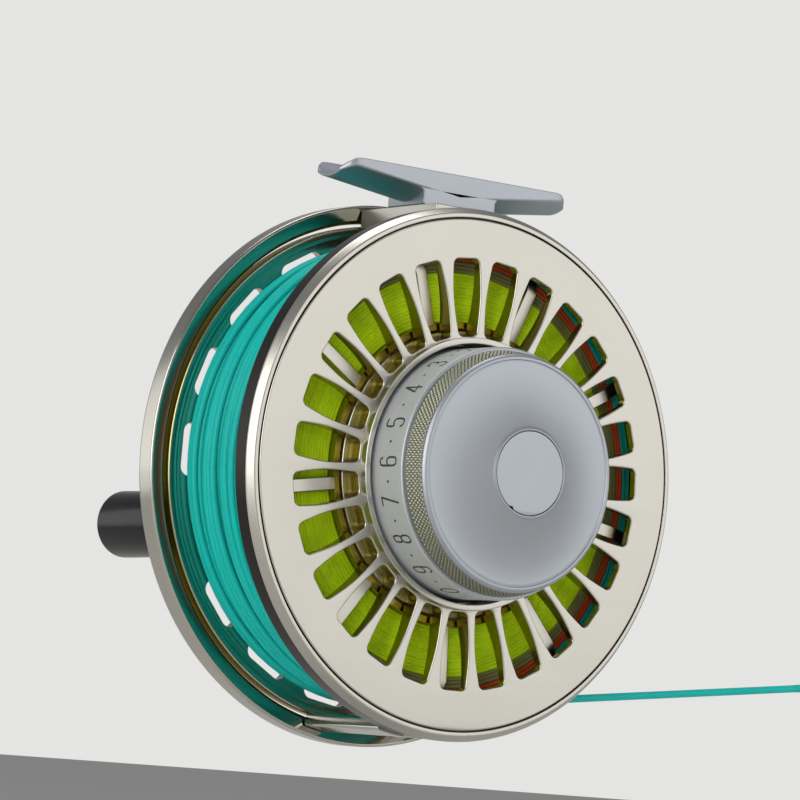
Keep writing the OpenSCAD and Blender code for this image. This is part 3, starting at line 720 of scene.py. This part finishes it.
class REEL_OT_reel_foot(bpy.types.Operator):
    """The foot that the rod's hoods clamp, on the bridge at the top of the frame"""
    bl_idname = "reel.reel_foot"
    bl_label = "Reel foot"

    def execute(self, context):
        width, across, along = 6.6, 16, 48
        bm = bmesh.new()
        sections = []
        for i in range(along + 1):
            t = -1 + 2 * i / along
            x = 31 * t
            # The plan narrows to a rounded tip
            tip = max(0.0, abs(x) - 27.5) / 3.5
            half = width * math.sqrt(max(0.03, 1 - 0.62 * tip * tip))
            low = -12.6 + 9.4 + abs(x) * math.tan(math.radians(7))
            top, under = [], []
            for k in range(across + 1):
                y = -half + 2 * half * k / across
                top.append((y, -math.sqrt(64 - y * y)))
                under.append((y, min(low - math.sqrt(9.4 * 9.4 - y * y),
                                     -math.sqrt(64 - y * y) - 0.5)))
            loop = top + list(reversed(under))
            sections.append([bm.verts.new((x * MM, y * MM, z * MM)) for y, z in loop])
        for one, two in zip(sections, sections[1:]):
            for k in range(len(one)):
                n = (k + 1) % len(one)
                bm.faces.new((one[k], one[n], two[n], two[k]))
        bm.faces.new(sections[0])
        bm.faces.new(sections[-1])
        toes = from_bmesh("foot_toes", bm, "satin", 30)
        stem_outline = [(-9.8 - 0.9, -8.6 + AXLE_DROP), (-9.8, -9.6 + AXLE_DROP),
                        (-9.8, -12.4 + AXLE_DROP), (9.8, -12.4 + AXLE_DROP),
                        (9.8, -9.6 + AXLE_DROP), (9.8 + 0.9, -8.6 + AXLE_DROP)]
        stem = cut_plate("foot_stem", [stem_outline], -6.6, 6.6, 0.3, "satin")
        foot = join("reel_foot_piece", [toes, stem])
        bevel = foot.modifiers.new("soft edges", "BEVEL")
        bevel.width = 0.35 * MM
        bevel.segments = 3
        bevel.angle_limit = math.radians(42)
        foot.modifiers.move(1, 0)
        placed(foot, "frame", "reel_foot")
        top = -12.4 + AXLE_DROP
        arch = [(54.9 * math.sin(math.radians(c)), 54.9 * math.cos(math.radians(c)))
                for c in [-10.28 + 20.56 * k / 16 for k in range(17)]]
        bridge = cut_plate("frame_bridge_piece", [[(-9.8, top)] + arch + [(9.8, top)]],
                           -11.3, 16.2, 0.3, "champagne")
        placed(bridge, "frame", "frame_bridge")
        return {"FINISHED"}


DIAL_R = 27                         # the dial band
FIGURE_R = DIAL_R + 0.012           # the figures lie just above it
FIGURE_Y = -23.7
FIGURE_STEP = 18                    # degrees from one figure to the next
DOT_R = 0.33

# Strokes of the dial's figures on a grid one wide and three high, from the lower left
FIGURES = {
    "0": [[(0.5, 3), (0, 2.4), (0, 0.6), (0.5, 0), (1, 0.6), (1, 2.4), (0.5, 3)]],
    "1": [[(0.15, 2.4), (0.6, 3)], [(0.6, 3), (0.6, 0)]],
    "2": [[(0, 2.4), (0.1, 2.85), (0.5, 3), (0.95, 2.8), (1, 2.3), (0.8, 1.6),
           (0, 0), (1, 0)]],
    "3": [[(0, 2.5), (0.15, 2.9), (0.5, 3), (0.9, 2.85), (1, 2.4), (0.9, 1.75),
           (0.45, 1.6), (0.9, 1.45), (1, 0.7), (0.85, 0.15), (0.5, 0),
           (0.1, 0.12), (0, 0.55)]],
    "4": [[(0.75, 0), (0.75, 3)], [(0.75, 3), (0, 0.8)], [(0, 0.8), (1.05, 0.8)]],
    "5": [[(0.95, 3), (0.1, 3), (0.05, 1.7), (0.5, 1.9), (0.9, 1.7), (1, 1.2),
           (1, 0.6), (0.85, 0.12), (0.5, 0), (0.12, 0.12), (0, 0.5)]],
    "6": [[(0.95, 2.6), (0.8, 2.9), (0.5, 3), (0.12, 2.85), (0, 2.3), (0, 0.6),
           (0.15, 0.12), (0.5, 0), (0.88, 0.12), (1, 0.6), (1, 1.2), (0.85, 1.65),
           (0.5, 1.75), (0.12, 1.6), (0, 1.25)]],
    "7": [[(0, 3), (1, 3)], [(1, 3), (0.35, 0)]],
    "8": [[(0.5, 1.62), (0.12, 1.8), (0.05, 2.3), (0.15, 2.85), (0.5, 3),
           (0.85, 2.85), (0.95, 2.3), (0.88, 1.8), (0.5, 1.62), (0.1, 1.4),
           (0, 0.75), (0.12, 0.15), (0.5, 0), (0.88, 0.15), (1, 0.75),
           (0.9, 1.4), (0.5, 1.62)]],
    "9": [[(0.05, 0.4), (0.2, 0.1), (0.5, 0), (0.88, 0.15), (1, 0.7), (1, 2.4),
           (0.85, 2.88), (0.5, 3), (0.12, 2.88), (0, 2.4), (0, 1.8),
           (0.15, 1.35), (0.5, 1.25), (0.88, 1.4), (1, 1.75)]],
}


def smooth_path(points, steps=3):
    """Rounds a stroke's corners by sliding a curve through its points."""
    out = []
    count = len(points)
    for i in range(count - 1):
        p0 = Vector(points[max(0, i - 1)])
        p1 = Vector(points[i])
        p2 = Vector(points[i + 1])
        p3 = Vector(points[min(count - 1, i + 2)])
        for k in range(steps):
            t = k / steps
            out.append(0.5 * ((2 * p1) + (p2 - p0) * t + (2 * p0 - 5 * p1 + 4 * p2 - p3) * t * t
                              + (3 * p1 - p0 - 3 * p2 + p3) * t ** 3))
    out.append(Vector(points[-1]))
    return out


def straight_path(points, steps=6):
    """Splits a straight stroke so that it follows the dial's curve."""
    one, two = (Vector(p) for p in points)
    return [one.lerp(two, k / steps) for k in range(steps + 1)]


def ribbon_on_dial(bm, path, clock, y_mid, width, height, stroke, r):
    """Lays one stroke of a figure on the dial band, its top towards the plate."""
    flat = [Vector(((p.x - 0.5) * width, (p.y / 3 - 0.5) * height)) for p in path]
    sides = []
    for i, p in enumerate(flat):
        along = (flat[min(i + 1, len(flat) - 1)] - flat[max(i - 1, 0)]).normalized()
        across = Vector((-along.y, along.x)) * stroke / 2
        sides.append([p + across, p - across])
    cap = (flat[0] - flat[1]).normalized() * stroke * 0.3
    sides[0] = [q + cap for q in sides[0]]
    cap = (flat[-1] - flat[-2]).normalized() * stroke * 0.3
    sides[-1] = [q + cap for q in sides[-1]]
    rows = [[bm.verts.new(polar(clock + math.degrees(q.x / r), r, y_mid + q.y)) for q in pair]
            for pair in sides]
    for one, two in zip(rows, rows[1:]):
        bm.faces.new((one[0], one[1], two[1], two[0]))


def knob_face(t):
    """Station of the flared face at t from 0 at the rim to 1 at the middle."""
    r = 23.7 - 13.9 * t
    y = -33.9 - 3.65 * t ** 1.7
    return r, y


class REEL_OT_drag_knob(bpy.types.Operator):
    """The drag knob: numbered dial band, diamond grip, flared face and cap"""
    bl_idname = "reel.drag_knob"
    bl_label = "Drag knob"

    def execute(self, context):
        sizes = context.scene.reel_sizes
        face = [knob_face(k / 40) for k in range(41)]
        bm = bmesh.new()
        lathe_into(bm, rounded(
            [(23.5, -13.6), (26.4, -13.6, 0.2), (26.4, -14.1), (26.2, -14.1), (26.2, -15.7),
             (27, -15.7, 0.2), (27, -28.35, 0.1), (26.75, -28.55, 0.08), (26.1, -28.6),
             (25.0, -33.0), (25.35, -33.05, 0.1), (25.35, -33.45, 0.2), (24.75, -34.05, 0.3),
             (24.15, -34.05, 0.12), (24.0, -33.8, 0.1)]
            + face
            + [(9.6, -37.7, 0.15), (9.3, -37.88, 0.12), (9.02, -37.75, 0.08), (9.02, -36.4),
               (6.2, -36.4), (6.2, -24.5), (4.05, -24.5), (4.05, -15), (19.4, -15),
               (19.4, -26.6), (23.5, -26.6)]), 288)
        body = from_bmesh("knob_body_piece", bm, "satin", 32)
        refinish(body, "dial", lambda f: -28.4 * MM < f.center.y < -15.6 * MM and (
            math.hypot(f.center.x, f.center.z - AXLE_Z) > 26.8 * MM))
        # Diamond grip: pyramids where two sets of slanting grooves cross
        count = int(round(2 * math.pi * 26 / (sizes.knurl_pitch / MM)))
        rows, columns = 36, count * 6
        bm = bmesh.new()
        grid = []
        for j in range(rows + 1):
            y = -28.55 - 4.45 * j / rows
            base = 26.25 - 0.95 * j / rows
            v = 4.45 * j / rows / (sizes.knurl_pitch / MM)
            edge = min(1, j / 1.5, (rows - j) / 1.5)
            line = []
            for i in range(columns):
                u = i / 6
                one = abs(((u + v) % 1) * 2 - 1)
                two = abs(((u - v) % 1) * 2 - 1)
                height = 0.42 * min(1, min(one, two) * 1.25) * edge
                line.append(bm.verts.new(polar(360 * i / columns, base - 0.2 + height, y)))
            grid.append(line)
        for one, two in zip(grid, grid[1:]):
            for i in range(columns):
                n = (i + 1) % columns
                bm.faces.new((one[i], one[n], two[n], two[i]))
        grip = from_bmesh("knob_grip", bm, "grip", 180)
        grip.modifiers.clear()
        # Figures 0 to 9 twice round, a dot between each pair
        bm = bmesh.new()
        for i in range(20):
            digit = str((3 + i) % 10)
            clock = -36 - FIGURE_STEP * i
            for stroke in FIGURES[digit]:
                path = straight_path(stroke) if len(stroke) == 2 else smooth_path(stroke)
                ribbon_on_dial(bm, path, clock, FIGURE_Y, 1.75, 5.5, 0.46, FIGURE_R)
            between = clock - FIGURE_STEP / 2
            ring = [bm.verts.new(polar(between + math.degrees(DOT_R * math.cos(a) / DIAL_R),
                                       FIGURE_R, FIGURE_Y + DOT_R * math.sin(a)))
                    for a in (2 * math.pi * k / 14 for k in range(14))]
            bm.faces.new(ring)
        figures = from_bmesh("dial_figures", bm, "engraving")
        figures.modifiers.clear()
        placed(body, "knob", "knob_body")
        placed(grip, "knob")
        placed(figures, "knob")
        cap = cut_plate("knob_cap_piece", [cap_outline()], -37.75, -36.5, 0.12, "satin")
        placed(cap, "knob", "knob_cap")
        return {"FINISHED"}


def cap_outline():
    """The knob's cap: a disc with a small notch for prising it out."""
    r, notch, points = 8.9, 209, []
    for k in range(180):
        clock = 2 * k
        gap = abs((clock - notch + 180) % 360 - 180)
        depth = max(0, 1 - (gap / 3.2) ** 2) ** 0.5 * 0.45 if gap < 3.2 else 0
        a = math.radians(clock)
        points.append(((r - depth) * math.sin(a), (r - depth) * math.cos(a)))
    return points


class REEL_OT_spool(bpy.types.Operator):
    """The spool's flanges: the spoked one on the drag side and the slotted one on the handle side
    """
    bl_idname = "reel.spool"
    bl_label = "Spool"

    def execute(self, context):
        sizes = context.scene.reel_sizes
        # Handle-side flange: a plate with slots, its rim rolled over
        step = 360 / sizes.slot_count
        outlines = [circle_outline(54.0, 360), circle_outline(31.6, 200)]
        for i in range(sizes.slot_count):
            clock = 11 + i * step
            if round(clock - 251) % 180:
                outlines.append(slot_outline(clock, 37, 51.8, 7, 9.4, 11.4, 2.0))
        web = cut_plate("flange_plate", outlines, 16.8, 19, 0.25, "bright")
        rim = lathe("flange_rim", [(52.9, 16.9, 0.2), (53.9, 16.65, 0.15), (55.0, 16.6, 0.2),
                                   (55.3, 16.9, 0.2), (55.3, 19.9, 0.2), (55.0, 20.2, 0.2),
                                   (53.1, 20.2, 0.2), (52.9, 19.0, 0.1)], "bright", 360)
        # Painted reflection: the faces that turn towards the line take the gold that stands in for
        # its reflected colour
        refinish(rim, "line_reflection_gold", lambda f: f.normal.y > -0.75)
        flange = join("handle_flange_piece", [web, rim])
        placed(flange, "spool", "spool_handle_flange")
        # Drag-side flange: rim and spokes that ramp down to it
        rim = lathe("drag_rim", [(49.8, -12.2), (50.2, -12.2), (50.2, -13.2, 0.2),
                                 (50.8, -13.8, 0.3), (53.1, -13.8, 0.3), (53.6, -13.3, 0.2),
                                 (53.6, -11, 0.2), (49.8, -11)], "bright", 300)
        spokes = bmesh.new()
        for i in range(sizes.spoke_count):
            a = math.radians(21.3 + i * 360 / sizes.spoke_count)
            section = [(32.6, -12.75), (44.6, -13.6), (47.8, -12.2), (50.4, -12.2), (50.4, -11),
                       (32.6, -11)]
            faces = []
            for w in (-1.45, 1.45):
                faces.append([spokes.verts.new(Vector((
                    r * math.sin(a) + w * math.cos(a), y,
                    r * math.cos(a) - w * math.sin(a) + AXLE_Z / MM)) * MM) for r, y in section])
            spokes.faces.new(faces[0])
            spokes.faces.new(faces[1])
            for k in range(len(section)):
                n = (k + 1) % len(section)
                spokes.faces.new((faces[0][k], faces[0][n], faces[1][n], faces[1][k]))
        bars = from_bmesh("drag_spokes", spokes, "champagne")
        bevel = bars.modifiers.new("soft edges", "BEVEL")
        bevel.width = 0.22 * MM
        bevel.segments = 2
        bevel.angle_limit = math.radians(35)
        bars.modifiers.move(1, 0)
        # Painted reflection: the faces that turn towards the line take the gold that stands in for
        # its reflected colour
        refinish(rim, "line_reflection_gold", lambda f: f.normal.y > -0.6)
        # Painted shade: the inner ledge is darkened where shade falls
        refinish(rim, "shade", lambda f: (
            math.hypot(f.center.x, f.center.z - AXLE_Z) < 50.9 * MM))
        placed(rim, "spool", "spool_drag_flange")
        placed(bars, "spool")
        return {"FINISHED"}


def wound(name, r_in, r_out, pitch, finish, nodes, seed):
    """A wound layer: its two sides show the strands as ridges, pitch in mm."""
    turns = max(1, round((r_out - r_in) / pitch))
    size = (r_out - r_in) / turns
    shake = random.Random(seed)
    outline = []
    sides = ((-10.8, 1), (16.6, -1))
    for number, (y, way) in enumerate(sides):
        ridges = []
        for k in range(turns):
            middle = r_in + size * (k + 0.5)
            push = shake.uniform(0, 0.1)
            for a in (-75, -45, -15, 15, 45, 75):
                ridges.append((middle + size / 2 * math.sin(math.radians(a)),
                               y + way * (0.6 * size / 2 * (1 - math.cos(math.radians(a))) + push)))
        outline += ridges if number == 0 else list(reversed(ridges))
    bm = bmesh.new()
    lathe_into(bm, [Vector(p) for p in outline], 200)
    piece = from_bmesh(name, bm, finish, 60)
    return placed(piece, "spool", *nodes)


class REEL_OT_backing(bpy.types.Operator):
    """The backing and the layers of line under the outer wraps"""
    bl_idname = "reel.backing"
    bl_label = "Backing"

    def execute(self, context):
        sizes = context.scene.reel_sizes
        braid = sizes.braid_diameter / MM
        wound("backing_piece", 33, 43.8, braid, "backing", ["backing"], 3)
        wound("running_line_piece", 43.8, 46.4, 0.9, "running", ["running_line"], 5)
        wound("line_head_piece", 46.4, 48.2, 0.9, "head", ["line_head"], 7)
        return {"FINISHED"}


class REEL_OT_wraps(bpy.types.Operator):
    """The outer wraps of fly line, laid a little unevenly"""
    bl_idname = "reel.wraps"
    bl_label = "Wraps of line"

    def execute(self, context):
        sizes = context.scene.reel_sizes
        radius = sizes.line_diameter / 2
        shake = random.Random(11)
        # Salmon strands right across, then turquoise in two uneven layers
        lower = [15.6 - 1.72 * k for k in range(16)]
        strand_layer("head_wraps", "head", lower, 47.75, 0.12, shake, radius * 0.9, None)
        first = [15.6, 15.6, 13.9, 10.4, 8.7, 7.0, 3.6, 1.9, 0.2, -1.5, -3.2, -5.7, -8.2,
                 -9.9, -9.9]
        strand_layer("inner_wraps", "fly_line", first, 49.0, 0.15, shake, radius, None)
        second = [-9.9, -9.9, -7.6, -4.6, -2.0, 0.2, 1.9, 3.7, 7.0, 8.8, 10.5, 13.9, 15.6, 15.6,
                  9.6, LINE_Y]
        strand_layer("outer_wraps", "fly_line", second, 50.15, 0.3, shake, radius, "fly_line",
                     end_clock=174.3, end_radius=50.45)
        return {"FINISHED"}


def strand_layer(name, finish, stations, r, sway, shake, radius, node,
                 end_clock=174.3, end_radius=None):
    """One layer as a single strand that steps from station to station once a turn."""
    per_turn = 90
    turns = len(stations) - 1
    phases = [shake.uniform(0, 360) for _ in stations]
    lifts = [shake.uniform(-0.16, 0.16) for _ in stations]
    if end_radius is not None:
        lifts[-2:] = [end_radius - r, end_radius - r]
    points = []
    for i in range(turns * per_turn + 1):
        t = i / per_turn
        k = min(int(t), turns - 1)
        part = t - k
        # The step to the next station is made early in the turn
        ease = max(0.0, min(1.0, (part - 0.05) / 0.4))
        ease = ease * ease * (3 - 2 * ease)
        y = stations[k] + (stations[k + 1] - stations[k]) * ease
        clock = end_clock + 360 * (turns - t)
        wave = math.sin(math.radians(clock * 2 + phases[k] * (1 - ease) + phases[k + 1] * ease))
        last = max(0.0, min(1.0, (turns - t) * 4))
        lift = lifts[k] * (1 - ease) + lifts[k + 1] * ease
        rr = r + lift * last
        if end_radius is not None:
            rr = rr * last + end_radius * (1 - last)
        points.append(polar(clock, rr, y + sway * wave * last))
    bm = bmesh.new()
    tube_into(bm, points, radius, 10)
    piece = from_bmesh(name, bm, finish, 60)
    return placed(piece, "spool", *([node] if node else []))


class REEL_OT_handle(bpy.types.Operator):
    """The winding handle"""
    bl_idname = "reel.handle"
    bl_label = "Handle"

    def execute(self, context):
        barrel = [(3.4, 22.2), (5.3, 22.2, 0.3), (6.0, 22.7, 0.3)]
        for k in range(19):
            t = k / 18
            barrel.append((7.4 - 1.2 * (1 - t) ** 2, 23.1 + 28 * t))
        barrel += [(7.4, 51.4, 0.3), (7.0, 52.0, 0.4), (6.2, 52.2, 0.3), (4.7, 52.2, 0.2),
                   (4.3, 51.8, 0.15), (4.3, 47.1), (3.4, 47.1)]
        knob = lathe("handle_knob_piece", barrel, "acetal", 96, HANDLE_AXIS, sharp=35)
        placed(knob, "handle", "handle_knob")
        return {"FINISHED"}


CARRIED = {
    "foot_screws": "steel", "drag_housing": "silver", "housing_screws": "steel",
    "housing_seal": "rubber", "housing_cap": "silver", "shaft_seal": "rubber",
    "spindle": "steel", "steel_plates": "steel", "click_gear": "steel", "spool_nut": "steel",
    "knob_screw": "steel", "detent_ring": "steel", "knob_seal": "rubber",
    "detent_plungers": "steel", "detent_springs": "steel", "drag_nut": "bronze",
    "thrust_washer": "steel", "push_pins": "steel", "pressure_plate": "steel",
    "spring_washers": "steel", "drag_rotor": "silver", "carbon_discs": "carbon",
    # The arbor, web and hub take the gold that paints the line's colour reflected in them
    "rotor_bushings": "bronze", "spool_arbor": "line_reflection_gold", "spool_web": "line_reflection_gold",
    "spool_hub": "line_reflection_gold",
    "one_way_clutch": "steel", "spool_bearing": "steel", "spool_cap": "silver",
    "counterweight": "silver", "handle_post": "grip_steel", "handle_screw": "grip_steel",
    "click_pawl": "steel", "pawl_pin": "steel", "click_spring": "steel",
    "handle_bushings": "bronze",
}


class REEL_OT_works(bpy.types.Operator):
    """Finishes on the pieces that keep their machined shape"""
    bl_idname = "reel.works"
    bl_label = "Drag and works"

    def execute(self, context):
        for node, finish in CARRIED.items():
            piece = frame["nodes"][node]
            for slot in piece.material_slots:
                slot.material = FINISHES[finish]
        return {"FINISHED"}


class REEL_OT_stage(bpy.types.Operator):
    """Camera, floor and soft lights"""
    bl_idname = "reel.stage"
    bl_label = "Stage"

    def execute(self, context):
        scene = context.scene
        make_camera(scene)
        floor = bpy.data.objects.new("floor", bpy.data.meshes.new("floor"))
        bm = bmesh.new()
        bmesh.ops.create_circle(bm, cap_ends=True, segments=64, radius=7)
        bm.to_mesh(floor.data)
        bm.free()
        floor.location.z = -0.21
        floor.data.materials.append(FINISHES["floor"])
        scene.collection.objects.link(floor)
        scene.view_settings.view_transform = "Standard"
        scene.world = studio_world()
        soft_light("front_softbox", (0.8, -1.05, 0.05), (1.6, 1.6), 8)
        soft_light("left_softbox", (-1.2, -0.6, 0.1), (1.2, 1.4), 14)
        soft_light("back_strip", (-0.75, 1.0, 0.1), (0.35, 1.2), 1.2)
        soft_light("top_softbox", (0.1, 0.1, 1.1), (0.8, 0.5), 4)
        return {"FINISHED"}


def studio_world():
    """A pale backdrop; the room that lights the reel is paler at the height of the axle and
    dark above and below, so that the metal shows its edges."""
    world = bpy.data.worlds.new("studio")
    world.use_nodes = True
    tree = world.node_tree
    way = add(tree, "ShaderNodeTexCoord").outputs["Generated"]
    height = add(tree, "ShaderNodeSeparateXYZ", {0: way}).outputs["Z"]
    room = add(tree, "ShaderNodeValToRGB", {0: add(tree, "ShaderNodeMapRange", {
        0: height, 1: -1.0, 2: 1.0}).outputs[0]})
    ramp = room.color_ramp
    ramp.elements[0].position, ramp.elements[0].color = 0.3, (0.34, 0.34, 0.33, 1)
    ramp.elements[1].position, ramp.elements[1].color = 0.8, (0.22, 0.22, 0.23, 1)
    ramp.elements.new(0.5).color = (0.55, 0.55, 0.54, 1)
    seen = add(tree, "ShaderNodeLightPath").outputs["Is Camera Ray"]
    mix = add(tree, "ShaderNodeMix", {0: seen, 6: room.outputs["Color"],
                                      7: (0.78, 0.78, 0.765, 1)}, data_type="RGBA")
    tree.links.new(mix.outputs[2], tree.nodes["Background"].inputs["Color"])
    return world


def soft_light(name, place, size, power):
    """A rectangular soft light that faces the reel."""
    data = bpy.data.lights.new(name, "AREA")
    data.shape = "RECTANGLE"
    data.size, data.size_y = size
    data.energy = power
    lamp = bpy.data.objects.new(name, data)
    lamp.location = place
    aim = Vector((0, 0, AXLE_Z)) - Vector(place)
    lamp.rotation_euler = aim.to_track_quat("-Z", "Y").to_euler()
    bpy.context.scene.collection.objects.link(lamp)


def make_camera(scene):
    """Camera a little below the axle, on the knob side and towards the rod's butt."""
    turn, rise, tilt = (math.radians(v) for v in (-36.65, -4.92, 4.17))
    target, distance = Vector((-18.23, -14.5, -56.27)) * MM, 843.5 * MM
    right = Vector((math.cos(turn), math.sin(turn), 0))
    back = Vector((math.sin(turn) * math.cos(rise), -math.cos(turn) * math.cos(rise),
                   math.sin(rise)))
    up = back.cross(right)
    across = math.cos(tilt) * right + math.sin(tilt) * up
    upright = math.cos(tilt) * up - math.sin(tilt) * right
    data = bpy.data.cameras.new("camera")
    data.lens = 178.14
    data.sensor_width = 36
    data.clip_start = 0.05
    data.clip_end = 30
    camera = bpy.data.objects.new("camera", data)
    matrix = Matrix((across, upright, back)).transposed().to_4x4()
    matrix.translation = target + back * distance
    camera.matrix_world = matrix
    scene.collection.objects.link(camera)
    scene.camera = camera


OPERATORS = (
    REEL_OT_stage, REEL_OT_line_out, REEL_OT_frame_plate, REEL_OT_frame_ring,
    REEL_OT_frame_pillars, REEL_OT_reel_foot, REEL_OT_drag_knob, REEL_OT_spool,
    REEL_OT_backing, REEL_OT_wraps, REEL_OT_handle, REEL_OT_works,
)


class REEL_PT_panel(bpy.types.Panel):
    """Lists the reel's pieces in the sidebar"""
    bl_label = "Fly reel"
    bl_space_type = "VIEW_3D"
    bl_region_type = "UI"
    bl_category = "Fly reel"

    def draw(self, context):
        for group in (context.scene.reel_sizes, context.scene.reel_colours):
            box = self.layout.box()
            for name in group.bl_rna.properties.keys():
                if name not in ("rna_type", "name"):
                    box.prop(group, name)
        for operator in OPERATORS:
            self.layout.operator(operator.bl_idname)


CLASSES = (ReelSizes, ReelColours) + OPERATORS + (REEL_PT_panel,)


def register():
    for cls in CLASSES:
        bpy.utils.register_class(cls)
    bpy.types.Scene.reel_sizes = PointerProperty(type=ReelSizes)
    bpy.types.Scene.reel_colours = PointerProperty(type=ReelColours)


def unregister():
    del bpy.types.Scene.reel_colours
    del bpy.types.Scene.reel_sizes
    for cls in reversed(CLASSES):
        bpy.utils.unregister_class(cls)


def main():
    register()
    make_finishes(bpy.context.scene.reel_colours)
    for operator in OPERATORS:
        group, name = operator.bl_idname.split(".")
        getattr(getattr(bpy.ops, group), name)()


if __name__ == "__main__":
    main()
